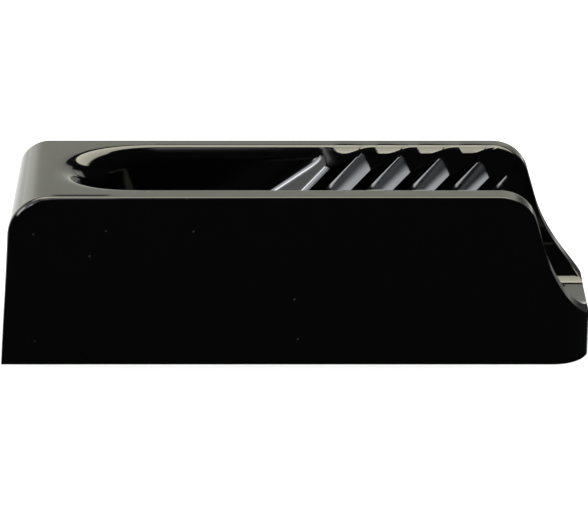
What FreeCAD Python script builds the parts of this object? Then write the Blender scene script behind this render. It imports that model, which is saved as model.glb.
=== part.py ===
import FreeCAD, Part
import math
import os

V = FreeCAD.Vector

# A moulded V-groove jam cleat for 6 to 12 mm line, through-bolted to a deck.
# Frame: X along the rope, fairlead end at -X and mouth at +X; Z up; the origin
# is the centre of the base face, which lies on the deck. Millimetres.

# ---- cleat body, outside -------------------------------------------------
LENGTH = 82.0
WIDTH = 22.0
HEIGHT = 25.0
END_DRAFT_DEG = 4.2        # lean of the fairlead end wall
HEEL_R = 4.6               # roll from the end wall to the top
NOSE_PLAN_R = 5.2          # rounding of the mouth end, seen from above
NOSE_PLAN_X = 36.0         # where that rounding starts
SHOULDER_X = 28.0          # where the flat top ends
SHOULDER_R = 5.3           # convex bend from the top into the slope
SLOPE_DEG = 74.0           # steepness of the slope under the shoulder
SLOPE_LENGTH = 4.6
SWEEP_R = 21.9             # concave bend from the slope to the lip
LIP_SLOPE_DEG = 44.0       # steepness at the end of that bend
OUTER_EDGE_R = 0.45        # rounding of the edges along both sides

# ---- rope channel --------------------------------------------------------
CHANNEL_HALF = 7.65        # half its width
CHANNEL_FLOOR_Z = 6.1
CHANNEL_CORNER_R = 5.0     # between the floor and the walls
POCKET_END_X = -31.6
POCKET_END_LONG = 12.0     # length of the rounded pocket end
RAIL_EDGE_R = 0.4
FAIRLEAD_R = 6.25          # hole through the end wall for 12 mm line

# ---- teeth on the two flanks ---------------------------------------------
TOOTH_PITCH = 5.94         # along the rope; the ridges rise at 45 degrees
TOOTH_COUNT = 6
TOOTH_DROP = 2.97          # height of the ledge on each tooth
FLANK_TAN = 0.25           # inward lean of each flank
FLANK_HALF_AT_BASE = 0.475 # half width between the tooth edges, carried down to the base
FIRST_EDGE_Z = 18.2        # height of the first tooth edge at X = 0
FIRST_LEDGE_RISE = 1.18    # slope of the first, widest ledge up to the channel wall
TEETH_START_X = -24.0      # behind where the first ledge has run down to the floor
TEETH_END_X = 31.0
LEAD_IN_Z = 24.3           # height of the teeth at the channel wall
FLANK_ROOT = 1.0           # how far the flanks run into the body
FLANK_STOP_Y = 0.2         # the flanks stay this far from the middle

# ---- fixings: two M5 x 25 countersunk screws, each with a washer and a lock nut
SCREWS = {"pocket": -19.0, "mouth": 33.0}   # name and place along X
HOLE_R = 2.75
ACCESS_R = 5.0             # way down to each screw head
HEAD_TOP_Z = 5.9
HEAD_R = 4.6
HEAD_RIM = 0.3
SEAT_GAP = 0.02            # between the head and its 90 degree seat
SCREW_LENGTH = 25.0
THREAD_R = 2.5
SHANK_R = 2.24             # rolled screws are thinner above the thread
THREAD_TOP_Z = -0.5
RIDGE_PITCH = 0.8          # the thread is drawn as ring-shaped ridges
RIDGE_DEPTH = 0.45
TIP_CHAMFER = 0.5
CROSS_WIDTH = 1.1          # cross recess in the head
CROSS_SPAN = 4.8
CROSS_DEPTH = 1.7

# ---- under the deck ------------------------------------------------------
DECK = 12.0                # thickness clamped between the base and the washers
WASHER_R = 7.5
WASHER_THICK = 1.2
NUT_ACROSS_FLATS = 8.0
NUT_THICK = 3.6
COLLAR_R = 3.6
COLLAR_HEIGHT = 1.4
INSERT_R = 3.15
INSERT_HEIGHT = 1.1
THREAD_GAP = 0.02          # between the thread and whatever is on it


def arc(start, middle, end):
    return Part.Arc(V(*start), V(*middle), V(*end)).toShape()


def line(start, end):
    return Part.makeLine(V(*start), V(*end))


def solid_of(edges, sweep):
    """The closed outline swept along a vector."""
    wire = Part.Wire(edges)
    return Part.Face(wire).extrude(sweep)


def cylinder(radius, low_z, high_z, x=0.0):
    return Part.makeCylinder(radius, high_z - low_z, V(x, 0, low_z))


def shoulder_points():
    """Start, middle and end of the convex bend, in X and Z."""
    turn = math.radians(SLOPE_DEG)
    points = []
    for part_turn in (0.0, turn / 2, turn):
        x = SHOULDER_X + SHOULDER_R * math.sin(part_turn)
        z = HEIGHT - SHOULDER_R * (1 - math.cos(part_turn))
        points.append((x, z))
    return points


def sweep_points(start):
    """Start, middle and end of the concave bend that runs out to the lip."""
    steep = math.radians(SLOPE_DEG)
    shallow = math.radians(LIP_SLOPE_DEG)
    points = []
    for angle in (steep, (steep + shallow) / 2, shallow):
        x = start[0] + SWEEP_R * (math.sin(steep) - math.sin(angle))
        z = start[1] - SWEEP_R * (math.cos(angle) - math.cos(steep))
        points.append((x, z))
    return points


def side_outline():
    """Edges of the body seen from the side, counter-clockwise from the heel."""
    half = LENGTH / 2
    back_y = -WIDTH / 2
    draft = math.radians(END_DRAFT_DEG)
    wall_turn = math.radians(90 - END_DRAFT_DEG)
    heel_z = HEIGHT - HEEL_R
    centre_x = -half + heel_z * math.tan(draft) + HEEL_R / math.cos(draft)

    def heel(turn):
        return (centre_x - HEEL_R * math.sin(turn), back_y, heel_z + HEEL_R * math.cos(turn))

    foot = (-half, back_y, 0)
    heel_low = heel(wall_turn)
    heel_top = heel(0)
    shoulder = [(x, back_y, z) for x, z in shoulder_points()]
    steep = math.radians(SLOPE_DEG)
    slope_x = shoulder[2][0] + SLOPE_LENGTH * math.cos(steep)
    slope_z = shoulder[2][2] - SLOPE_LENGTH * math.sin(steep)
    sweep = [(x, back_y, z) for x, z in sweep_points((slope_x, slope_z))]
    lip = (half, back_y, sweep[2][2] - (half - sweep[2][0]) * math.tan(math.radians(LIP_SLOPE_DEG)))
    toe = (half, back_y, 0)
    return [
        line(foot, heel_low),
        arc(heel_low, heel(wall_turn / 2), heel_top),
        line(heel_top, shoulder[0]),
        arc(*shoulder),
        line(shoulder[2], sweep[0]),
        arc(*sweep),
        line(sweep[2], lip),
        line(lip, toe),
        line(toe, foot),
    ]


def plan_outline():
    """Edges of the body seen from above: square heel, rounded nose."""
    half_x = LENGTH / 2
    half_y = WIDTH / 2
    centre_y = half_y - NOSE_PLAN_R
    turn = math.asin((half_x - NOSE_PLAN_X) / NOSE_PLAN_R)

    def nose(angle, side):
        x = NOSE_PLAN_X + NOSE_PLAN_R * math.sin(angle)
        return (x, side * (centre_y + NOSE_PLAN_R * math.cos(angle)), 0)

    heel = -half_x - 1
    return [
        line((heel, -half_y, 0), nose(0, -1)),
        arc(nose(0, -1), nose(turn / 2, -1), nose(turn, -1)),
        line(nose(turn, -1), nose(turn, 1)),
        arc(nose(turn, 1), nose(turn / 2, 1), nose(0, 1)),
        line(nose(0, 1), (heel, half_y, 0)),
        line((heel, half_y, 0), (heel, -half_y, 0)),
    ]


def is_side_rim(edge):
    """True for the edges where the end wall, top and slope meet the long sides."""
    box = edge.BoundBox
    crosses = box.YLength > NOSE_PLAN_R
    upright = box.XLength < 0.1
    return box.ZMax > 0.1 and not crosses and not upright


def outer_block():
    side = solid_of(side_outline(), V(0, WIDTH, 0))
    plan = solid_of(plan_outline(), V(0, 0, HEIGHT + 1))
    block = side.common(plan).removeSplitter()
    return block.makeFillet(OUTER_EDGE_R, [e for e in block.Edges if is_side_rim(e)])


def channel_section(x, half, floor_z, top_z):
    """Edges of a U section across the rope, closed at the top."""
    r = CHANNEL_CORNER_R
    low = floor_z + r
    dip = r * (1 - math.cos(math.pi / 4))
    flat = half - r
    return [
        line((x, -half, top_z), (x, -half, low)),
        arc((x, -half, low), (x, -half + dip, floor_z + dip), (x, -flat, floor_z)),
        line((x, -flat, floor_z), (x, flat, floor_z)),
        arc((x, flat, floor_z), (x, half - dip, floor_z + dip), (x, half, low)),
        line((x, half, low), (x, half, top_z)),
        line((x, half, top_z), (x, -half, top_z)),
    ]


def channel():
    """The rope channel: a U trough whose pocket end is rounded in plan."""
    top_z = HEIGHT + 2
    start_x = POCKET_END_X
    section = channel_section(start_x - CHANNEL_HALF, CHANNEL_HALF, CHANNEL_FLOOR_Z, top_z)
    trough = solid_of(section, V(LENGTH + 2 * CHANNEL_HALF, 0, 0))
    bend_x = start_x + POCKET_END_LONG
    ellipse = Part.Ellipse(V(bend_x, 0, 0), POCKET_END_LONG, CHANNEL_HALF)
    end_arc = Part.ArcOfEllipse(ellipse, math.pi / 2, 3 * math.pi / 2).toShape()
    far_x = start_x + LENGTH
    outline = [
        end_arc,
        line((bend_x, -CHANNEL_HALF, 0), (far_x, -CHANNEL_HALF, 0)),
        line((far_x, -CHANNEL_HALF, 0), (far_x, CHANNEL_HALF, 0)),
        line((far_x, CHANNEL_HALF, 0), (bend_x, CHANNEL_HALF, 0)),
    ]
    plan = solid_of(outline, V(0, 0, top_z))
    return trough.common(plan)


def fairlead():
    """The round hole through the end wall, level with the channel floor."""
    start_x = -LENGTH / 2 - 2
    length = POCKET_END_X + POCKET_END_LONG - start_x
    centre = V(start_x, 0, CHANNEL_FLOOR_Z + FAIRLEAD_R)
    return Part.makeCylinder(FAIRLEAD_R, length, centre, V(1, 0, 0))


def tooth_profile(x):
    """Points down one flank in the plane X = x, from the first tooth edge."""
    points = []
    for i in range(TOOTH_COUNT + 3):
        edge_z = FIRST_EDGE_Z - i * TOOTH_PITCH + x
        edge_y = FLANK_HALF_AT_BASE + FLANK_TAN * edge_z
        points.append((x, edge_y, edge_z))
        points.append((x, edge_y, edge_z - TOOTH_PITCH + TOOTH_DROP))
    return points


def flank():
    """The stepped wedge on the +Y wall: one outline swept along its ridges."""
    start_x = TEETH_START_X
    sweep_length = TEETH_END_X - start_x
    wall_y = CHANNEL_HALF + FLANK_ROOT
    points = tooth_profile(start_x)
    reach_y = wall_y + sweep_length * FLANK_TAN
    rise = FIRST_LEDGE_RISE * (reach_y - points[0][1])
    outer_top = (start_x, reach_y, points[0][2] + rise)
    outer_low = (start_x, reach_y, points[-1][2])
    loop = [outer_top] + points + [outer_low]
    edges = [line(a, b) for a, b in zip(loop, loop[1:] + loop[:1])]
    wedge = solid_of(edges, V(sweep_length, FLANK_TAN * sweep_length, sweep_length))
    return wedge.common(flank_room(wall_y))


def flank_room(wall_y):
    """The space the wedge may fill: under a lead-in that slopes to the channel."""
    low_z = CHANNEL_FLOOR_Z - FLANK_ROOT
    stop_y = FLANK_STOP_Y
    fall = LEAD_IN_Z - CHANNEL_HALF
    x = -LENGTH / 2
    edges = [
        line((x, stop_y, low_z), (x, wall_y, low_z)),
        line((x, wall_y, low_z), (x, wall_y, LEAD_IN_Z)),
        line((x, wall_y, LEAD_IN_Z), (x, CHANNEL_HALF, LEAD_IN_Z)),
        line((x, CHANNEL_HALF, LEAD_IN_Z), (x, stop_y, fall + stop_y)),
        line((x, stop_y, fall + stop_y), (x, stop_y, low_z)),
    ]
    return solid_of(edges, V(TEETH_END_X - x, 0, 0))


def mirrored(shape):
    return shape.mirror(V(0, 0, 0), V(0, 1, 0))


def screw_room(x):
    """Everything cut away for one screw: the way down, the head seat and the hole."""
    rim_z = HEAD_TOP_Z - HEAD_RIM
    access = cylinder(ACCESS_R, rim_z, HEIGHT + 2, x)
    seat_r = HEAD_R + SEAT_GAP
    depth = seat_r - HOLE_R
    seat = Part.makeCone(HOLE_R, seat_r, depth, V(x, 0, rim_z - depth))
    hole = cylinder(HOLE_R, -1, rim_z, x)
    return access.fuse([seat, hole])


def cleat_body():
    body = outer_block().cut(channel())
    rims = [e for e in body.Edges if is_rail_edge(e)]
    body = body.makeFillet(RAIL_EDGE_R, rims)
    body = body.cut(fairlead())
    half_flank = flank()
    body = body.fuse([half_flank, mirrored(half_flank)])
    body = body.cut([screw_room(x) for x in SCREWS.values()])
    return body.removeSplitter()


def is_rail_edge(edge):
    """True for the channel's upper edges, along the rails and round the pocket."""
    box = edge.BoundBox
    inside = box.YMin > -CHANNEL_HALF - 0.01 and box.YMax < CHANNEL_HALF + 0.01
    on_top = box.ZMin > HEIGHT - 0.01 and box.ZMax < HEIGHT + 0.01
    return inside and on_top


def turned(points, x):
    """The outline of radius and height pairs, turned about the screw line at X = x."""
    corners = [V(x + radius, 0, z) for radius, z in points]
    wire = Part.makePolygon(corners + corners[:1])
    return Part.Face(wire).revolve(V(x, 0, 0), V(0, 0, 1), 360)


def thread_points(end_z):
    """Radius and height pairs down the thread, which ends above the tip's chamfer."""
    points = []
    z = THREAD_TOP_Z
    while z - RIDGE_PITCH > end_z + TIP_CHAMFER:
        points.append((THREAD_R, z))
        points.append((THREAD_R - RIDGE_DEPTH, z - RIDGE_PITCH / 2))
        z -= RIDGE_PITCH
    points.append((THREAD_R, z))
    return points


def screw(x):
    end_z = HEAD_TOP_Z - SCREW_LENGTH
    rim_z = HEAD_TOP_Z - HEAD_RIM
    profile = [(0, HEAD_TOP_Z), (HEAD_R, HEAD_TOP_Z), (HEAD_R, rim_z)]
    profile.append((SHANK_R, rim_z - (HEAD_R - SHANK_R)))
    profile.append((SHANK_R, THREAD_TOP_Z))
    profile += thread_points(end_z)
    profile.append((THREAD_R - TIP_CHAMFER, end_z))
    profile.append((0, end_z))
    body = turned(profile, x)
    for wide, deep in ((CROSS_SPAN, CROSS_WIDTH), (CROSS_WIDTH, CROSS_SPAN)):
        corner = V(x - wide / 2, -deep / 2, HEAD_TOP_Z - CROSS_DEPTH)
        body = body.cut(Part.makeBox(wide, deep, CROSS_DEPTH + 1, corner))
    return body


def washer(x):
    return cylinder(WASHER_R, -DECK - WASHER_THICK, -DECK, x).cut(
        cylinder(THREAD_R + THREAD_GAP, -DECK - 2 * WASHER_THICK, -DECK + 1, x)
    )


def nut(x):
    """A hexagon with a round collar below it that holds the locking insert."""
    top_z = -DECK - WASHER_THICK
    low_z = top_z - NUT_THICK
    corner_r = NUT_ACROSS_FLATS / math.sqrt(3)
    turns = [math.radians(60 * i) for i in range(7)]
    corners = [V(x + corner_r * math.cos(t), corner_r * math.sin(t), low_z) for t in turns]
    hexagon = Part.Face(Part.makePolygon(corners)).extrude(V(0, 0, NUT_THICK))
    collar = cylinder(COLLAR_R, low_z - COLLAR_HEIGHT, low_z, x)
    bore = cylinder(THREAD_R + THREAD_GAP, low_z - 2 * COLLAR_HEIGHT, top_z + 1, x)
    seat = cylinder(INSERT_R, low_z - 2 * COLLAR_HEIGHT, low_z - COLLAR_HEIGHT + INSERT_HEIGHT, x)
    return hexagon.fuse(collar).cut([bore, seat]).removeSplitter()


def nut_insert(x):
    low_z = -DECK - WASHER_THICK - NUT_THICK - COLLAR_HEIGHT
    ring = cylinder(INSERT_R, low_z, low_z + INSERT_HEIGHT, x)
    return ring.cut(cylinder(THREAD_R + THREAD_GAP, low_z - 1, low_z + 2 * INSERT_HEIGHT, x))


def save(name, shape):
    shape.exportStep("parts/%s.step" % name)
    solids = shape.Solids
    print(name, "solids", len(solids), "valid", shape.isValid(), "mm3", round(shape.Volume, 1))


os.makedirs("parts", exist_ok=True)
save("cleat_body", cleat_body())
for place, along in SCREWS.items():
    save(place + "_screw", screw(along))
    save(place + "_washer", washer(along))
    save(place + "_nut", nut(along))
    save(place + "_nut_insert", nut_insert(along))
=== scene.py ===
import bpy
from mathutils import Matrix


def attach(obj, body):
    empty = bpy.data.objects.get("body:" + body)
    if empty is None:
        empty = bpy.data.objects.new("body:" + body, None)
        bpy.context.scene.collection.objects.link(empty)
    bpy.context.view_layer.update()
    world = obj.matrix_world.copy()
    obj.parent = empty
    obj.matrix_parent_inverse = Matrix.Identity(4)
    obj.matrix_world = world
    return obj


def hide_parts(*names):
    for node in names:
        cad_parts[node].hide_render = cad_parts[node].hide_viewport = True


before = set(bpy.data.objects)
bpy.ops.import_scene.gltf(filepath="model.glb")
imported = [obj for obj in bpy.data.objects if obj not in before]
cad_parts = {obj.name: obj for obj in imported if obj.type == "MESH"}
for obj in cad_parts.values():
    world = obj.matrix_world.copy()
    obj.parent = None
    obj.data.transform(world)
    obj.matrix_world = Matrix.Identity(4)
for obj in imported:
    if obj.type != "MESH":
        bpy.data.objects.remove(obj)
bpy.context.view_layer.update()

import math

import bmesh
import bpy
import numpy as np
from mathutils import Vector

MM = 0.001
WELD = 2e-6     # metres
SLIVER = 1e-6   # metres
TINY = 1e-6     # millimetres

# ---------------------------------------------------------------------------
# The moulding's sizes in millimetres. Its box, profile, channel and holes
# follow the CAD model; the pocket's end, the rolls, the rail's dips, the tooth
# edges and the outer edges refine it. A pair {1: ..., -1: ...} gives the +Y and
# the -Y side.
# ---------------------------------------------------------------------------
HALF_LENGTH = 41.0
HALF_WIDTH = 11.0
HEIGHT = 25.0
END_DRAFT = math.radians(4.2)   # lean of the fairlead end wall
HEEL_R = {1: 4.6, -1: 6.2}      # roll from the end wall to the top
NOSE_R = 5.2                    # rounding of the mouth end, seen from above
NOSE_X = 36.0                   # where that rounding starts
SHOULDER_X = 28.0               # where the flat top ends
SHOULDER_R = 5.3
SLOPE = math.radians(74.0)      # steepness under the shoulder
SLOPE_LENGTH = 4.6
SWEEP_R = 21.9                  # concave bend from the slope to the lip
LIP_SLOPE = math.radians(44.0)

WALL_Y = 7.65                   # half the channel's width
FLOOR_Z = 6.1
CORNER_R = 5.0                  # between the floor and the walls
END_CORNER_R = 3.2              # the same at the tip of the pocket
BEND_X = -19.6                  # where the pocket's rounded end starts
BEND_LONG = 9.1                 # its length
ROLL_R = 1.0                    # depth of the close rows under the rail's inner edge
WALL_ROLL = {1: 1.7, -1: 0.7}   # roll from the rail into the channel
END_ROLL_R = 5.0                # the same at the tip of the pocket
LIP_ROLL_R = 0.4                # the same at the lip
LIP_ROLL_START_X = 30.0
LIP_ROLL_RUN = 5.0

PITCH = 5.94                    # of the teeth, along the rope
STEP = PITCH / 24               # spacing of the mesh along the teeth
FIRST_EDGE = 17.705             # height of the first tooth edge at X = 0
LEDGE_STEPS = 14                # how many of the 24 steps are ledge; the rest is wall
TEETH_END_X = 31.0
EDGE_Y0 = 0.475                 # half the gap between the tooth edges, carried down to Z = 0
LEAN = 0.25                     # inward lean of each flank
TOOTH_RISE = 0.7425             # how far a tooth's crease stands back from its edge
CREASE_SLOPE = 0.12
LEDGE_START_LOW = 0.5           # how straight a ledge is, low down and high up
LEDGE_START_HIGH = 0.76
LEDGE_LOW_Z = 18.5
LEDGE_HIGH_RUN = 4.5
FIRST_LEDGE = {1: 0.597, -1: 0.5}   # slope of the first, widest ledge
FIRST_LEDGE_START = 0.7         # how far from its edge that slope starts
LEDGE_FALL = 0.22               # slope of the strip before it
TOOTH_TOP_Y = 7.69              # the plane across the tops of the teeth, at X = TOOTH_TOP_X
TOOTH_TOP_X = 16.0
TOOTH_TOP_SLOPE = 0.6
TOOTH_TOP_DRIFT = 0.022
FIRST_TOP_SET_BACK = 1.55       # that plane stands back over the first ledge
FIRST_TOP_X = 2.6
FIRST_TOP_RUN = 5.0
FLANK_END_X = 32.6              # where the flanks have run out into the channel wall
FLANK_END_SLOPE = 0.75
BEVEL_X, BEVEL_Y, BEVEL_Z = 29.3, 5.0, 21.1   # a point on the bevel of the flank's last corner
BEVEL_RISE = 1.1
BEVEL_SLOPE = 0.9
ROOT_BLEND = 0.06               # how softly the flank meets the channel wall
FIRST_ROOT_BLEND = 0.52         # the same along the first ledge
FIRST_ROOT_END_X = 6.0
FIRST_ROOT_RUN = 4.0

DIP_WIDTH = {1: 1.7, -1: 1.3}   # the rail's dip over each tooth
DIP_LEAST = 0.3
DIP_SLOPE = 0.3
STRIP_SLOPE = 0.1
SCALLOP_X = 5.36                # where the first dip starts
SCALLOP_SHARES = (0.08, 0.26, 0.9)   # of the pitch: fully dipped from and to, and level again
SCALLOP_LAG = 0.9               # how much later the dips of the -Y side come
SCALLOP_START_X = 3.0           # the dips fade in and out over the first and last teeth
SCALLOP_START_RUN = 3.6
SCALLOP_END_X = 30.0
SCALLOP_END_RUN = 3.0

FAIRLEAD_R = 6.25
FAIRLEAD_Z = FLOOR_Z + FAIRLEAD_R
FAIRLEAD_FLARE = 1.6
SCREWS = {"pocket": -19.0, "mouth": 33.0}
HOLE_R = 2.75
HEAD_R = 4.62                   # seat of the screw head
SEAT_Z = 5.6
WAY_R = 5.0                     # way down to the screw head
BREAK = 0.15                    # bevel where that way meets the seat
FOOT_BREAK = 0.3                # bevel of the hole in the base

CRISP_EDGE_R = 0.25             # outer edge on the +Y side and at the nose
CRISP_TURN = math.radians(28.0)
NEAR_TURN = math.radians(50.0)  # how far the -Y side's outer edge turns
RAIL_EDGE_R = 0.6
HEEL_EDGE_R = 1.3
UPRIGHT_EDGE_R = 1.3
LEAST_EDGE_R = 0.02
UPRIGHT_FULL_Z = 17.0           # where the upright edge has its full radius
HEEL_EDGE_Z = (15.0, 21.0)      # each radius goes over to the next between two places
RAIL_FROM_X = (-37.5, -31.5)
CRISP_FROM_X = (27.0, 33.0)
SINK_DEPTH = 0.04               # sink mark in the -Y rail beside the pocket's end
SINK_X = (-35.0, -32.0, -26.5, -23.5)   # where it starts, is full, and the same back
SINK_SHARES = (1.0, 0.85, 0.5, 0.15, 0.0)


# ---------------------------------------------------------------------------
# Side profile: the line from the foot of the end wall, over the top, to the
# lip of the mouth. Each entry is x, z and the outward normal's angle.
# ---------------------------------------------------------------------------
END_WALL_POINTS = 12
HEEL_ARC_POINTS = 25
HEEL_POINTS = END_WALL_POINTS + HEEL_ARC_POINTS


def profile(side):
    """Points (x, z, turn): turn is 0 where the surface faces up, - towards the heel."""
    points = []
    heel_r = HEEL_R[side]
    heel_z = HEIGHT - heel_r
    centre_x = -HALF_LENGTH + heel_z * math.tan(END_DRAFT) + heel_r / math.cos(END_DRAFT)
    wall_turn = math.pi / 2 - END_DRAFT
    low_x = centre_x - heel_r * math.sin(wall_turn)
    low_z = heel_z + heel_r * math.cos(wall_turn)
    for k in range(END_WALL_POINTS):
        t = k / END_WALL_POINTS
        points.append((-HALF_LENGTH + t * (low_x + HALF_LENGTH), t * low_z, -wall_turn))
    for k in range(HEEL_ARC_POINTS):
        turn = wall_turn * (1 - k / (HEEL_ARC_POINTS - 1))
        z = heel_z + heel_r * math.cos(turn)
        points.append((centre_x - heel_r * math.sin(turn), z, -turn))
    for x in np.linspace(centre_x, BEND_X, 24)[1:]:
        points.append((float(x), HEIGHT, 0.0))
    columns = int(round((TEETH_END_X - BEND_X) / STEP))
    for k in range(1, columns + 1):
        x = BEND_X + k * STEP
        points.append((x, *top_at(x)))
    start_turn = points[-1][2]
    for k in range(1, 15):
        turn = start_turn + (SLOPE - start_turn) * k / 14
        points.append((*shoulder_at(turn), turn))
    x0, z0 = shoulder_at(SLOPE)
    for k in range(1, 13):
        run = SLOPE_LENGTH * k / 12
        points.append((x0 + run * math.cos(SLOPE), z0 - run * math.sin(SLOPE), SLOPE))
    x0, z0 = points[-1][0], points[-1][1]
    for k in range(1, 37):
        turn = SLOPE + (LIP_SLOPE - SLOPE) * k / 36
        x = x0 + SWEEP_R * (math.sin(SLOPE) - math.sin(turn))
        z = z0 - SWEEP_R * (math.cos(turn) - math.cos(SLOPE))
        points.append((x, z, turn))
    x0, z0 = points[-1][0], points[-1][1]
    for k in range(1, 4):
        x = x0 + (HALF_LENGTH - x0) * k / 3
        points.append((x, z0 - (x - x0) * math.tan(LIP_SLOPE), LIP_SLOPE))
    return points



def shoulder_at(turn):
    return SHOULDER_X + SHOULDER_R * math.sin(turn), HEIGHT - SHOULDER_R * (1 - math.cos(turn))


def top_at(x):
    """Height and turn of the top line on the flat and the start of the shoulder."""
    if x <= SHOULDER_X:
        return HEIGHT, 0.0
    turn = math.asin((x - SHOULDER_X) / SHOULDER_R)
    return shoulder_at(turn)[1], turn


def half_width(x):
    if x <= NOSE_X:
        return HALF_WIDTH
    return HALF_WIDTH - NOSE_R + math.sqrt(max(0.0, NOSE_R ** 2 - (x - NOSE_X) ** 2))


# ---------------------------------------------------------------------------
# The channel's inside: half its width at each place along it and height.
# ---------------------------------------------------------------------------
def smooth_min(a, b, k):
    h = np.clip(0.5 + 0.5 * (b - a) / k, 0, 1)
    return b + (a - b) * h - k * h * (1 - h)


def smooth_max(a, b, k):
    return -smooth_min(-a, -b, k)


def trough(z):
    """Half width of the plain U trough at height z."""
    down = np.clip(FLOOR_Z + CORNER_R - z, 0, CORNER_R)
    return WALL_Y - CORNER_R + np.sqrt(np.maximum(CORNER_R ** 2 - down ** 2, 0))


def tooth_offset(s, z, side):
    """How far the stepped flank stands back from its leaning plane, by z - x."""
    wall_run = PITCH - LEDGE_STEPS * STEP
    phase = np.mod(FIRST_EDGE - s, PITCH)
    crease_end = wall_run + STEP
    t = np.clip((phase - crease_end) / (PITCH - crease_end), 0, 1)
    high = np.clip((z - LEDGE_LOW_Z) / LEDGE_HIGH_RUN, 0, 1)
    start = LEDGE_START_LOW + (LEDGE_START_HIGH - LEDGE_START_LOW) * high
    ledge = (TOOTH_RISE - CREASE_SLOPE * STEP) * (1 - (start * t + (1 - start) * t ** 2))
    crease = TOOTH_RISE - CREASE_SLOPE * (phase - wall_run)
    ledge = np.where(phase <= wall_run + STEP * 1.001, crease, ledge)
    back = np.where(phase <= wall_run, TOOTH_RISE * phase / wall_run, ledge)
    beyond = s - FIRST_EDGE
    steep = FIRST_LEDGE[side] * beyond - (FIRST_LEDGE[side] - LEDGE_FALL) * FIRST_LEDGE_START
    return np.where(beyond > 0, smooth_max(LEDGE_FALL * beyond, steep, 0.07), back)


def scallop(x, rise, full, end):
    """0 between teeth and 1 on top of a tooth, where the rail rolls in furthest.

    rise, full and end are shares of the pitch: where it gets there, leaves, and is back at 0.
    """
    phase = np.mod((x - SCALLOP_X) / PITCH, 1.0)
    shape = np.minimum(np.clip(phase / rise, 0, 1), np.clip((end - phase) / (end - full), 0, 1))
    fade_in = np.clip((x - SCALLOP_START_X) / SCALLOP_START_RUN, 0, 1)
    fade_out = np.clip((SCALLOP_END_X - x) / SCALLOP_END_RUN, 0, 1)
    return shape * shape * (3 - 2 * shape) * fade_in * fade_out


def roll_radius(x, side):
    share = np.clip((x - LIP_ROLL_START_X) / LIP_ROLL_RUN, 0, 1)
    return WALL_ROLL[side] + (LIP_ROLL_R - WALL_ROLL[side]) * share


def tooth_top(x):
    """The tops of the teeth as a plane: its y at the top line and how fast it leans inwards."""
    share = np.clip((x - FIRST_TOP_X) / FIRST_TOP_RUN, 0, 1)
    before_teeth = 1 - share * share * (3 - 2 * share)
    y = TOOTH_TOP_Y + TOOTH_TOP_DRIFT * (x - TOOTH_TOP_X) + FIRST_TOP_SET_BACK * before_teeth
    return y, TOOTH_TOP_SLOPE * (1 + before_teeth)


def crown(x, side):
    """Where the rail's shallow dip and the nearly level strip beyond it end."""
    edge = WALL_Y + roll_radius(x, side)
    soft = scallop(x - (SCALLOP_LAG if side < 0 else 0.0), *SCALLOP_SHARES)
    dip_y = edge - DIP_LEAST - DIP_WIDTH[side] * soft
    dip_z = DIP_SLOPE * (edge - dip_y)
    top_y, lean = tooth_top(x)
    reach = (dip_y - top_y + lean * dip_z) / (1 / STRIP_SLOPE - lean)
    return dip_y, dip_z, dip_z + np.maximum(reach, 0.0)


def channel_half(x, depth, z, side):
    """Half width of the channel at x and height z, which is depth below the top line."""
    roll_r = roll_radius(x, side)
    roll = np.clip(depth / roll_r, 0, 1)
    wall = trough(z) + roll_r * (1 - np.sqrt(1 - (1 - roll) ** 2))
    edge = WALL_Y + roll_r
    dip_y, dip_z, _ = crown(x, side)
    dip = edge - depth / DIP_SLOPE
    strip = dip_y - (depth - dip_z) / STRIP_SLOPE
    top_y, lean = tooth_top(x)
    cap = np.maximum(np.where(depth < dip_z, dip, strip), top_y - lean * depth)
    teeth = EDGE_Y0 + LEAN * z + tooth_offset(z - x, z, side)
    flank = np.where(depth < 0.45, np.maximum(teeth, cap), smooth_max(teeth, cap, 0.06))
    # the flank runs out towards the mouth and is bevelled at its last corner
    flank = smooth_max(flank, WALL_Y - (FLANK_END_X - x) * FLANK_END_SLOPE, 0.5)
    bevel = BEVEL_Y + (z - BEVEL_Z) * BEVEL_RISE + (x - BEVEL_X) * BEVEL_SLOPE
    flank = smooth_max(flank, bevel, 0.25)
    # its root is rounder along the first ledge
    first = np.clip((FIRST_ROOT_END_X - x) / FIRST_ROOT_RUN, 0, 1) * np.clip(depth - 0.8, 0, 1)
    root = ROOT_BLEND + (FIRST_ROOT_BLEND - ROOT_BLEND) * first
    return np.where(x > FLANK_END_X, wall, smooth_min(wall, flank, root))


# shares of the way down the dip, the strip and the top of a tooth, where the mesh has rows
DIP_STEPS = (0.0, 0.15, 0.3, 0.5, 0.75, 1.0)
STRIP_STEPS = (0.3, 0.65, 1.0)
TOP_STEPS = (0.05, 0.13, 0.26, 0.42, 0.6, 0.8, 1.0)


def edge_depths(x, side, roll_r):
    """Depths of the close rows that follow the rail's inner edge."""
    _, dip_z, crown_z = (float(v) for v in crown(x, side))
    rows = [dip_z * t for t in DIP_STEPS]
    rows += [dip_z + (crown_z - dip_z) * t for t in STRIP_STEPS]
    rows += [crown_z + (ROLL_R - crown_z) * t for t in TOP_STEPS]
    return [d * roll_r / ROLL_R for d in rows]


def grid_heights():
    """Heights of the rows down the channel walls; they line up with the tooth ridges."""
    low = FLOOR_Z + 0.15
    z = BEND_X + FIRST_EDGE
    while z < low:
        z += STEP
    rows = []
    while z < HEIGHT - ROLL_R - 0.05:
        rows.append(z)
        z += STEP
    return rows[::-1]


FOOT_RISES = (0.09, 0.035, 0.01, 0.0)   # rows just above the floor


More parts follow.
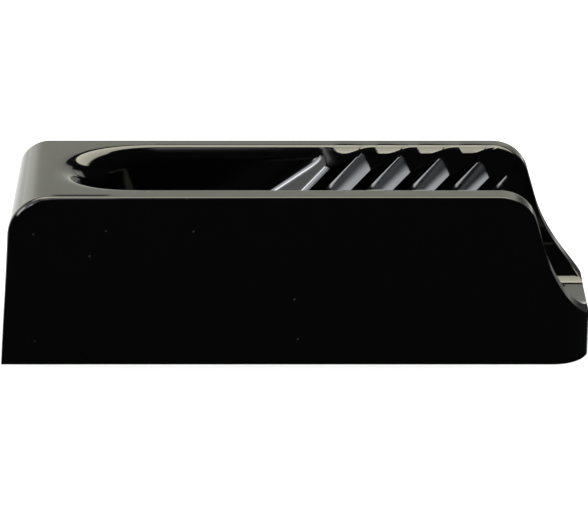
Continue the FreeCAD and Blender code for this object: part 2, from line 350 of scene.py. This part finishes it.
def channel_rows(x, top_z, side):
    """(y, z) points down one side of the channel at x, from the rail's edge to the floor."""
    room = max(top_z - FLOOR_Z, 0.02)
    roll_r = min(ROLL_R, 0.5 * room)
    depths = edge_depths(x, side, roll_r)
    depths += [max(roll_r, top_z - z) for z in grid_heights()]
    depths += [max(roll_r, top_z - FLOOR_Z - rise) for rise in FOOT_RISES]
    depth = np.array(depths)
    z = top_z - depth
    scale = ROLL_R / roll_r
    y = channel_half(np.full_like(z, x), depth * scale, z, side)
    y = np.minimum(y, half_width(x) - 0.02)
    return [(float(a), float(b)) for a, b in zip(y, z)]


def end_rows(turn, side):
    """(x, y, z) points down the pocket's rounded end; turn is 0 at its side, pi / 2 at its tip."""
    share = math.sin(turn) ** 2
    roll_r = ROLL_R + (END_ROLL_R - ROLL_R) * share
    shape_r = WALL_ROLL[side] + (END_ROLL_R - WALL_ROLL[side]) * share
    corner_r = CORNER_R + (END_CORNER_R - CORNER_R) * share
    wall = (BEND_X - BEND_LONG * math.sin(turn), WALL_Y * math.cos(turn))
    nx, ny = -math.sin(turn) / BEND_LONG, math.cos(turn) / WALL_Y
    size = math.hypot(nx, ny)
    nx, ny = nx / size, ny / size
    depths = edge_depths(BEND_X, side, roll_r)
    depths += [max(roll_r, HEIGHT - z) for z in grid_heights()]
    depths += [HEIGHT - FLOOR_Z - rise for rise in FOOT_RISES]
    rows = []
    for depth in depths:
        roll = min(depth / shape_r, 1)
        out = shape_r * (1 - math.sqrt(1 - (1 - roll) ** 2))
        z = HEIGHT - depth
        down = min(max(FLOOR_Z + corner_r - z, 0), corner_r)
        out -= corner_r - math.sqrt(corner_r ** 2 - down ** 2)
        rows.append((wall[0] + nx * out, side * (wall[1] + ny * out), z))
    return rows


# ---------------------------------------------------------------------------
# Mesh
# ---------------------------------------------------------------------------
class Builder:
    """Collects points and faces in millimetres; close points are welded at the end."""

    def __init__(self):
        self.points = []
        self.faces = []

    def point(self, x, y, z):
        self.points.append((x, y, z))
        return len(self.points) - 1

    def grid(self, rows, diagonal=False):
        """Quads between rows of points, or triangles cut the way that the tooth ridges run."""
        numbers = [[self.point(*p) for p in row] for row in rows]
        for a, b in zip(numbers, numbers[1:]):
            for i in range(len(a) - 1):
                if diagonal:
                    self.faces.append((a[i], a[i + 1], b[i]))
                    self.faces.append((a[i + 1], b[i + 1], b[i]))
                else:
                    self.faces.append((a[i], a[i + 1], b[i + 1], b[i]))


def ease(value, low, high):
    """0 below low and 1 above high, with a smooth change between."""
    t = min(max((value - low) / (high - low), 0.0), 1.0)
    return t * t * (3 - 2 * t)


def edge_radius(x, z):
    """Radius of the outer edge on the -Y side: up the end wall, over the heel, along the rail."""
    upright = UPRIGHT_EDGE_R * ease(z, 0.0, UPRIGHT_FULL_Z) + LEAST_EDGE_R
    heel = upright + (HEEL_EDGE_R - UPRIGHT_EDGE_R) * ease(z, *HEEL_EDGE_Z)
    rail = RAIL_EDGE_R + (CRISP_EDGE_R - RAIL_EDGE_R) * ease(x, *CRISP_FROM_X)
    return heel + (rail - heel) * ease(x, *RAIL_FROM_X)


def rim(x, z, turn, side):
    """Points from the side of the body over its edge to the top line."""
    w = half_width(x)
    nx, nz = math.sin(turn), math.cos(turn)
    points = []
    if side > 0:
        r, sweep, sink = min(CRISP_EDGE_R, max(LEAST_EDGE_R, 2.0 * z)), CRISP_TURN, 0.0
    else:
        r, sweep = edge_radius(x, z), NEAR_TURN
        sink = SINK_DEPTH * ease(x, *SINK_X[:2]) * (1 - ease(x, *SINK_X[2:]))
    width = r * math.sin(sweep)
    for k in range(13):
        a = sweep * (1 - k / 12)
        drop = r * (1 - math.cos(a)) + sink
        y = w - width + r * math.sin(a)
        points.append((x - nx * drop, y, max(z - nz * drop, 0.0)))
    if side < 0:
        for k, share in enumerate(SINK_SHARES):
            inset = max(width + 0.02 * k, 0.8 + 0.13 * k)
            if x > BEND_X - TINY:
                inset = width
            points.append((x - nx * sink * share, w - inset, z - nz * sink * share))
    return points


def side_wall(build, line, side):
    """The rounded edge, the flat side and the wall round the nose, on one side.

    Returns the edge's rows, the top of the nose wall and its last column.
    """
    outer = [[(px, side * py, pz) for px, py, pz in rim(*p, side)] for p in line]
    build.grid(outer)
    flat = [row[0] for row, p in zip(outer, line) if p[0] <= NOSE_X]
    loop = [build.point(*q) for q in flat]
    foot_x = flat[-1][0]
    loop.append(build.point(foot_x, side * HALF_WIDTH, 0))
    loop.append(build.point(flat[0][0], side * HALF_WIDTH, 0))
    build.faces.append(tuple(loop))
    nose = [row[0] for row, p in zip(outer, line) if p[0] > NOSE_X]
    nose = [(foot_x, side * HALF_WIDTH, flat[-1][2])] + nose
    columns = [[q, (q[0], q[1], q[2] / 2), (q[0], q[1], 0.0)] for q in nose]
    columns[0].pop(1)
    build.faces.append(tuple(build.point(*q) for q in columns[0] + columns[1][::-1]))
    build.grid(columns[1:])
    return outer, nose, columns[-1]


def channel_side(build, line, outer, side):
    """One rail and its side of the channel, from the pocket to the lip. Returns the end there."""
    rails, wall = [], []
    for (x, z, _), edge in zip(line, outer):
        if x < BEND_X - TINY:
            continue
        rows = channel_rows(x, z, side)
        inner = (x, side * rows[0][0], z)
        if side * (edge[-1][1] - inner[1]) < 0:
            inner = edge[-1]
        rails.append([edge[-1], inner])
        wall.append([(x, side * y, h) for y, h in rows])
        wall[-1][0] = inner
    build.grid(rails)
    build.grid(wall, diagonal=True)
    floor_rows = [[(x, y, z), (x, y / 2, z), (x, 0.0, z)] for x, y, z in (row[-1] for row in wall)]
    build.grid(floor_rows)
    return wall[-1] + floor_rows[-1][1:]


def body_mesh():
    build = Builder()
    lines = {side: profile(side) for side in (1, -1)}
    edges, noses, nose_ends = {}, {}, {}
    for side, line in lines.items():
        edges[side], noses[side], nose_ends[side] = side_wall(build, line, side)
    # end wall, heel and the flat behind the pocket, up to the pocket's roll
    cross = []
    for i in range(HEEL_POINTS):
        a, b = edges[1][i][-1], edges[-1][i][-1]
        cross.append([tuple(a[k] + (b[k] - a[k]) * t / 12 for k in range(3)) for t in range(13)])
    build.grid(cross)
    # the pocket's rounded end
    turns = [math.pi / 2 * k / 32 for k in range(33)]
    ends = [end_rows(turn, 1) for turn in turns] + [end_rows(turn, -1) for turn in turns][-2::-1]
    build.grid(ends)
    # flat top round the pocket's end
    flat = [i for i, p in enumerate(lines[-1]) if i >= HEEL_POINTS - 1 and p[0] <= BEND_X + TINY]
    loop = [edges[1][i][-1] for i in flat][::-1] + cross[-1][1:-1]
    loop += [edges[-1][i][-1] for i in flat] + [column[0] for column in ends][::-1]
    build.faces.append(tuple(build.point(*q) for q in loop))
    lips = {side: channel_side(build, lines[side], edges[side], side) for side in (1, -1)}
    # floor of the rounded end
    feet = [column[-1] for column in ends]
    centre = (BEND_X, 0.0, FLOOR_Z)
    middle = [tuple((a + b) / 2 for a, b in zip(q, centre)) for q in feet]
    build.grid([feet, middle, [centre] * len(feet)])
    # toe: the flat end under the lip
    toe = nose_ends[1][::-1][:-1] + edges[1][-1] + lips[1][1:]
    other = nose_ends[-1][::-1][:-1] + edges[-1][-1] + lips[-1][1:-1]
    build.faces.append(tuple(build.point(*q) for q in toe + other[::-1]))
    # base
    outline = cross[0][::-1] + edges[1][0][-2::-1] + noses[1]
    outline += noses[-1][::-1] + edges[-1][0][:-1]
    build.faces.append(tuple(build.point(x, y, 0.0) for x, y, _ in outline))
    return build


def weld(bm):
    """Join points that are less than WELD apart and drop the faces that this flattens."""
    bmesh.ops.remove_doubles(bm, verts=bm.verts, dist=WELD)
    bmesh.ops.dissolve_degenerate(bm, edges=bm.edges, dist=SLIVER)
    bmesh.ops.triangulate(bm, faces=[f for f in bm.faces if len(f.verts) > 4])


def fill_gaps(bm):
    bmesh.ops.holes_fill(bm, edges=[e for e in bm.edges if len(e.link_faces) == 1], sides=0)


def make_object(name, builder):
    mesh = bpy.data.meshes.new(name)
    points = [(x * MM, y * MM, z * MM) for x, y, z in builder.points]
    mesh.from_pydata(points, [], builder.faces)
    bm = bmesh.new()
    bm.from_mesh(mesh)
    weld(bm)
    bmesh.ops.recalc_face_normals(bm, faces=bm.faces)
    fill_gaps(bm)
    bm.to_mesh(mesh)
    bm.free()
    obj = bpy.data.objects.new(name, mesh)
    bpy.context.scene.collection.objects.link(obj)
    return obj


def turned_cutter(name, outline, x, segments=72):
    """A closed cutter: (radius, z) pairs turned about the upright line at x."""
    bm = bmesh.new()
    rings = []
    for radius, z in outline:
        ring = []
        for k in range(segments):
            a = 2 * math.pi * k / segments
            place = (x + radius * math.cos(a), radius * math.sin(a), z)
            ring.append(bm.verts.new([c * MM for c in place]))
        rings.append(ring)
    for a, b in zip(rings, rings[1:]):
        for k in range(segments):
            n = (k + 1) % segments
            bm.faces.new((a[k], a[n], b[n], b[k]))
    bm.faces.new(rings[0][::-1])
    bm.faces.new(rings[-1])
    bmesh.ops.recalc_face_normals(bm, faces=bm.faces)
    mesh = bpy.data.meshes.new(name)
    bm.to_mesh(mesh)
    bm.free()
    return bpy.data.objects.new(name, mesh)


def subtract(obj, cutter):
    bpy.context.scene.collection.objects.link(cutter)
    cut = obj.modifiers.new("cut", "BOOLEAN")
    cut.operation = "DIFFERENCE"
    cut.solver = "EXACT"
    cut.object = cutter
    graph = bpy.context.evaluated_depsgraph_get()
    mesh = bpy.data.meshes.new_from_object(obj.evaluated_get(graph))
    obj.modifiers.clear()
    obj.data = mesh
    bpy.data.objects.remove(cutter)


def close_up(obj):
    """Weld the slivers that the cuts leave and close the gaps at their ends."""
    bm = bmesh.new()
    bm.from_mesh(obj.data)
    weld(bm)
    bmesh.ops.dissolve_degenerate(bm, edges=bm.edges, dist=SLIVER)
    fill_gaps(bm)
    bm.to_mesh(obj.data)
    bm.free()


def screw_cutter(x):
    """The hole, the 90 degree seat and the way down to it."""
    outline = [(HOLE_R + FOOT_BREAK, -1.0), (HOLE_R + FOOT_BREAK, 0.0), (HOLE_R, FOOT_BREAK)]
    outline += [(HOLE_R, SEAT_Z - (HEAD_R - HOLE_R)), (HEAD_R, SEAT_Z), (WAY_R - BREAK, SEAT_Z)]
    outline += [(WAY_R, SEAT_Z + BREAK), (WAY_R, HEIGHT + 1)]
    return turned_cutter("screw_cutter", outline, x)


def fairlead_cutter():
    """A round hole along X whose outer mouth is flared."""
    flare = FAIRLEAD_FLARE
    mouth_x = -HALF_LENGTH + FAIRLEAD_Z * math.tan(END_DRAFT)
    outline = [(FAIRLEAD_R + flare + 1.0, mouth_x - 2.0)]
    for k in range(13):
        a = math.pi / 2 * k / 12
        x = mouth_x + flare * (1 - math.cos(a)) - 0.35
        outline.append((FAIRLEAD_R + flare * (1 - math.sin(a)), x))
    outline.append((FAIRLEAD_R, BEND_X - 2.0))
    cutter = turned_cutter("fairlead_cutter", outline, 0.0, 96)
    for v in cutter.data.vertices:
        x, y, z = v.co
        v.co = (z, y, -x + FAIRLEAD_Z * MM)
    return cutter


body = make_object("cleat_moulding", body_mesh())
subtract(body, fairlead_cutter())
for place_x in SCREWS.values():
    subtract(body, screw_cutter(place_x))
close_up(body)
for poly in body.data.polygons:
    poly.use_smooth = True
body.data.set_sharp_from_angle(angle=math.radians(24))
weighted = body.modifiers.new("weighted", "WEIGHTED_NORMAL")
weighted.keep_sharp = True
weighted.weight = 100
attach(body, "root")
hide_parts("cleat_body")


# ---------------------------------------------------------------------------
# Materials
# ---------------------------------------------------------------------------
def new_material(name):
    material = bpy.data.materials.new(name)
    material.use_nodes = True
    tree = material.node_tree
    shader = tree.nodes["Principled BSDF"]
    return material, tree, shader


def node(tree, kind, **values):
    made = tree.nodes.new(kind)
    for key, value in values.items():
        if key in made.inputs:
            made.inputs[key].default_value = value
        else:
            setattr(made, key, value)
    return made


def moulded_black():
    material, tree, shader = new_material("glossy_black_nylon")
    link = tree.links.new
    shader.inputs["IOR"].default_value = 1.5
    place = node(tree, "ShaderNodeTexCoord")
    # roughness: polished mould with faint cloudy patches and fine rubbed lines
    cloud = node(tree, "ShaderNodeTexNoise", Scale=90.0, Detail=5.0, Roughness=0.6)
    link(place.outputs["Object"], cloud.inputs["Vector"])
    stretch = node(tree, "ShaderNodeMapping")
    stretch.inputs["Scale"].default_value = (60.0, 900.0, 900.0)
    link(place.outputs["Object"], stretch.inputs["Vector"])
    lines = node(tree, "ShaderNodeTexNoise", Scale=4.0, Detail=4.0, Roughness=0.7)
    link(stretch.outputs["Vector"], lines.inputs["Vector"])
    ramp = node(tree, "ShaderNodeMapRange")
    ramp.inputs["From Min"].default_value = 0.35
    ramp.inputs["From Max"].default_value = 0.75
    ramp.inputs["To Min"].default_value = 0.045
    ramp.inputs["To Max"].default_value = 0.12
    blend = node(tree, "ShaderNodeMath", operation="MULTIPLY")
    link(cloud.outputs["Fac"], blend.inputs[0])
    link(lines.outputs["Fac"], blend.inputs[1])
    root = node(tree, "ShaderNodeMath", operation="SQRT")
    link(blend.outputs[0], root.inputs[0])
    link(root.outputs[0], ramp.inputs["Value"])
    link(ramp.outputs["Result"], shader.inputs["Roughness"])
    # colour: near black, with a few pale specks of dust
    specks = node(tree, "ShaderNodeTexVoronoi", Scale=230.0, Randomness=1.0)
    link(place.outputs["Object"], specks.inputs["Vector"])
    few = node(tree, "ShaderNodeMapRange")
    few.inputs["From Min"].default_value = 0.035
    few.inputs["From Max"].default_value = 0.05
    few.inputs["To Min"].default_value = 1.0
    few.inputs["To Max"].default_value = 0.0
    link(specks.outputs["Distance"], few.inputs["Value"])
    colour = node(tree, "ShaderNodeMix", data_type="RGBA")
    colour.inputs["A"].default_value = (0.0007, 0.0007, 0.0009, 1)
    colour.inputs["B"].default_value = (0.012, 0.012, 0.012, 1)
    link(few.outputs["Result"], colour.inputs["Factor"])
    link(colour.outputs["Result"], shader.inputs["Base Color"])
    # surface: a very slight waviness
    wave = node(tree, "ShaderNodeTexNoise", Scale=160.0, Detail=3.0)
    link(place.outputs["Object"], wave.inputs["Vector"])
    bump = node(tree, "ShaderNodeBump", Strength=0.05, Distance=0.00005)
    link(wave.outputs["Fac"], bump.inputs["Height"])
    link(bump.outputs["Normal"], shader.inputs["Normal"])
    return material


def steel(name, tint, low, high):
    material, tree, shader = new_material(name)
    link = tree.links.new
    shader.inputs["Metallic"].default_value = 1.0
    place = node(tree, "ShaderNodeTexCoord")
    grain = node(tree, "ShaderNodeTexNoise", Scale=1400.0, Detail=4.0)
    link(place.outputs["Object"], grain.inputs["Vector"])
    rough = node(tree, "ShaderNodeMapRange")
    rough.inputs["To Min"].default_value = low
    rough.inputs["To Max"].default_value = high
    link(grain.outputs["Fac"], rough.inputs["Value"])
    link(rough.outputs["Result"], shader.inputs["Roughness"])
    stain = node(tree, "ShaderNodeTexNoise", Scale=300.0, Detail=3.0)
    link(place.outputs["Object"], stain.inputs["Vector"])
    colour = node(tree, "ShaderNodeMix", data_type="RGBA")
    colour.inputs["A"].default_value = (*tint, 1)
    colour.inputs["B"].default_value = (*[0.8 * c for c in tint], 1)
    link(stain.outputs["Fac"], colour.inputs["Factor"])
    link(colour.outputs["Result"], shader.inputs["Base Color"])
    bump = node(tree, "ShaderNodeBump", Strength=0.12, Distance=0.00003)
    link(grain.outputs["Fac"], bump.inputs["Height"])
    link(bump.outputs["Normal"], shader.inputs["Normal"])
    return material


def nylon():
    material, tree, shader = new_material("natural_nylon")
    link = tree.links.new
    place = node(tree, "ShaderNodeTexCoord")
    grain = node(tree, "ShaderNodeTexNoise", Scale=900.0, Detail=3.0)
    link(place.outputs["Object"], grain.inputs["Vector"])
    rough = node(tree, "ShaderNodeMapRange")
    rough.inputs["To Min"].default_value = 0.35
    rough.inputs["To Max"].default_value = 0.55
    link(grain.outputs["Fac"], rough.inputs["Value"])
    link(rough.outputs["Result"], shader.inputs["Roughness"])
    colour = node(tree, "ShaderNodeMix", data_type="RGBA")
    colour.inputs["A"].default_value = (0.55, 0.58, 0.62, 1)
    colour.inputs["B"].default_value = (0.48, 0.51, 0.56, 1)
    link(grain.outputs["Fac"], colour.inputs["Factor"])
    link(colour.outputs["Result"], shader.inputs["Base Color"])
    bump = node(tree, "ShaderNodeBump", Strength=0.1, Distance=0.00003)
    link(grain.outputs["Fac"], bump.inputs["Height"])
    link(bump.outputs["Normal"], shader.inputs["Normal"])
    return material


def dress(obj, material):
    obj.data.materials.clear()
    obj.data.materials.append(material)


dress(body, moulded_black())
screw_steel = steel("screw_steel", (0.62, 0.61, 0.59), 0.2, 0.34)
washer_steel = steel("washer_steel", (0.6, 0.6, 0.58), 0.25, 0.42)
nut_steel = steel("nut_steel", (0.58, 0.57, 0.56), 0.22, 0.38)
insert_nylon = nylon()
for place in SCREWS:
    dress(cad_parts[place + "_screw"], screw_steel)
    dress(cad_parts[place + "_washer"], washer_steel)
    dress(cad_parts[place + "_nut"], nut_steel)
    dress(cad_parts[place + "_nut_insert"], insert_nylon)


# ---------------------------------------------------------------------------
# Floor, light and camera
# ---------------------------------------------------------------------------
scene = bpy.context.scene
scene.view_settings.view_transform = "Standard"

floor_mesh = bpy.data.meshes.new("floor")
FLOOR_HALF = 4.0
corners = [(i * FLOOR_HALF, j * FLOOR_HALF, 0) for i, j in ((-1, -1), (1, -1), (1, 1), (-1, 1))]
floor_mesh.from_pydata(corners, [], [(0, 1, 2, 3)])
floor = bpy.data.objects.new("floor", floor_mesh)
scene.collection.objects.link(floor)
floor.location.z = -0.00002   # just under the base
floor.visible_glossy = False
paper, tree, shader = new_material("pale_floor")
shader.inputs["Base Color"].default_value = (0.86, 0.86, 0.86, 1)
shader.inputs["Roughness"].default_value = 0.9
shader.inputs["Specular IOR Level"].default_value = 0.0
dress(floor, paper)


def card(name, azimuths, elevations, strength, colour=(1, 1, 1), soft=(0, 0, 0, 0), radius=1.6):
    """A glowing patch of a sphere round the object. Azimuth 0 is behind it, + is to its left.

    soft gives the degrees over which it fades at its low and high azimuth and elevation.
    """
    bm = bmesh.new()
    uv = bm.loops.layers.uv.new("place")
    across, up = 24, 12
    rows = []
    for j in range(up + 1):
        e = math.radians(elevations[0] + (elevations[1] - elevations[0]) * j / up)
        row = []
        for i in range(across + 1):
            a = math.radians(azimuths[0] + (azimuths[1] - azimuths[0]) * i / across)
            place = (-math.sin(a) * math.cos(e), math.cos(a) * math.cos(e), math.sin(e))
            row.append(bm.verts.new(tuple(radius * c for c in place)))
        rows.append(row)
    for j in range(up):
        for i in range(across):
            corners = ((i, j), (i + 1, j), (i + 1, j + 1), (i, j + 1))
            face = bm.faces.new([rows[v][u] for u, v in corners])
            for loop, (u, v) in zip(face.loops, corners):
                loop[uv].uv = (u / across, v / up)
    mesh = bpy.data.meshes.new(name)
    bm.to_mesh(mesh)
    bm.free()
    obj = bpy.data.objects.new(name, mesh)
    scene.collection.objects.link(obj)
    material = bpy.data.materials.new(name)
    material.use_nodes = True
    tree = material.node_tree
    tree.nodes.clear()
    out = tree.nodes.new("ShaderNodeOutputMaterial")
    glow = tree.nodes.new("ShaderNodeEmission")
    glow.inputs["Color"].default_value = (*colour, 1)
    clear = tree.nodes.new("ShaderNodeBsdfTransparent")
    both = tree.nodes.new("ShaderNodeAddShader")
    tree.links.new(clear.outputs[0], both.inputs[0])
    tree.links.new(glow.outputs[0], both.inputs[1])
    tree.links.new(both.outputs[0], out.inputs["Surface"])
    place = tree.nodes.new("ShaderNodeUVMap")
    place.uv_map = "place"
    parts = tree.nodes.new("ShaderNodeSeparateXYZ")
    tree.links.new(place.outputs["UV"], parts.inputs[0])
    spans = (azimuths[1] - azimuths[0], elevations[1] - elevations[0])
    level = None
    for k in range(4):
        share = soft[k] / spans[k // 2]
        if not share:
            continue
        fade = tree.nodes.new("ShaderNodeMapRange")
        fade.interpolation_type = "SMOOTHSTEP"
        start, end = (0.0, share) if k % 2 == 0 else (1.0, 1.0 - share)
        fade.inputs["From Min"].default_value = start
        fade.inputs["From Max"].default_value = end
        tree.links.new(parts.outputs[k // 2], fade.inputs["Value"])
        times = tree.nodes.new("ShaderNodeMath")
        times.operation = "MULTIPLY"
        times.inputs[0].default_value = strength
        if level is not None:
            tree.links.new(level, times.inputs[0])
        tree.links.new(fade.outputs["Result"], times.inputs[1])
        level = times.outputs[0]
    glow.inputs["Strength"].default_value = strength
    if level is not None:
        tree.links.new(level, glow.inputs["Strength"])
    mesh.materials.append(material)
    obj.visible_camera = False
    obj.visible_shadow = False
    obj.visible_diffuse = False


# Each has its own radius, so that none lie in the same place. Columns: name, azimuths,
# elevations, strength, colour, fades and radius.
card("backdrop", (-24, 66), (-4, 30), 1.1, (1.0, 1.01, 0.87), (6, 10, 8, 0), 1.60)
card("backdrop_low", (-10, 66), (-35, 8), 1.4, (1.0, 1.0, 0.96), (6, 10, 0, 14), 1.62)
card("backdrop_foot", (-10, 19), (-35, 8), 0.6, (1.0, 1.0, 0.96), (6, 8, 0, 14), 1.61)
card("backdrop_left", (6, 70), (0, 19), 0.5, (1.0, 1.0, 1.0), (12, 10, 8, 8), 1.64)
card("backdrop_dip", (-25, -4), (-14, 6), 1.2, (1.0, 1.0, 0.93), (6, 6, 5, 8), 1.66)
card("backdrop_tip", (-46, -19), (11, 27), 1.2, (1.0, 1.01, 0.9), (8, 7, 3, 5), 1.68)
card("right_low", (-34, -4), (-30, -4), 0.16, (1.0, 1.0, 0.96), (8, 10, 4, 8), 1.70)
card("right_side", (-36, -18), (-8, 24), 0.09, (1.0, 1.0, 0.96), (8, 6, 6, 6), 1.72)
card("left_low", (105, 168), (-42, -3), 0.5, (1.0, 1.0, 1.0), (10, 10, 10, 6), 1.74)
card("left_wall", (56, 128), (14, 62), 1.5, (1.0, 1.0, 0.97), (10, 8, 6, 8), 1.78)
card("left_key", (80, 106), (16, 38), 7.0, (0.97, 0.98, 1.0), (7, 6, 5, 5), 1.58)
card("top_left", (24, 160), (58, 90), 1.7, (1.0, 1.0, 0.97), (14, 14, 8, 0), 1.80)
card("top_softbox", (-66, 66), (41, 73), 6.5, (1.0, 0.96, 0.78), (14, 14, 0, 2), 1.56)
card("left_softbox", (109, 159), (22, 45), 8.2, (0.92, 0.95, 1.0), (12.6, 8, 3, 4), 1.54)
card("left_core", (117, 129), (32, 43), 16.0, (0.95, 0.97, 1.0), (3, 3, 3, 3), 1.52)
card("left_glow", (150, 165), (12, 29), 1.1, (0.88, 0.93, 1.0), (6, 2, 2, 4), 1.50)
card("left_lamp", (163, 172), (9, 21), 11.0, (0.95, 0.97, 1.0), (0, 2, 0, 0), 1.48)
card("front_ceiling", (100, 184), (50, 90), 0.22, (1.0, 1.0, 1.0), (20, 20, 12, 0), 1.82)

SKY_STRENGTH = 2.1
REFLECTED_SKY = 0.007
world = bpy.data.worlds.new("studio")
scene.world = world
world.use_nodes = True
tree = world.node_tree
sky = tree.nodes["Background"]
sky.inputs["Color"].default_value = (1, 1, 1, 1)
# reflections show the cards and hardly any of the sky
rays = node(tree, "ShaderNodeLightPath")
flip = node(tree, "ShaderNodeMath", operation="SUBTRACT")
flip.inputs[0].default_value = 1.0 + REFLECTED_SKY
tree.links.new(rays.outputs["Is Glossy Ray"], flip.inputs[1])
gain = node(tree, "ShaderNodeMath", operation="MULTIPLY")
gain.inputs[1].default_value = SKY_STRENGTH
tree.links.new(flip.outputs[0], gain.inputs[0])
tree.links.new(gain.outputs[0], sky.inputs["Strength"])

ELEVATION = math.radians(22.95)
DISTANCE = 0.4505
TARGET = Vector((0, 0, 0.0125))
camera = bpy.data.objects.new("camera", bpy.data.cameras.new("camera"))
scene.collection.objects.link(camera)
camera.location = TARGET + DISTANCE * Vector((0, -math.cos(ELEVATION), math.sin(ELEVATION)))
camera.rotation_euler = (math.pi / 2 - ELEVATION, 0, 0)
camera.data.sensor_width = 36.0
camera.data.lens = 195.67
camera.data.shift_x = -0.0024
camera.data.shift_y = -0.0034
camera.data.clip_start = 0.01
camera.data.clip_end = 20.0
scene.camera = camera
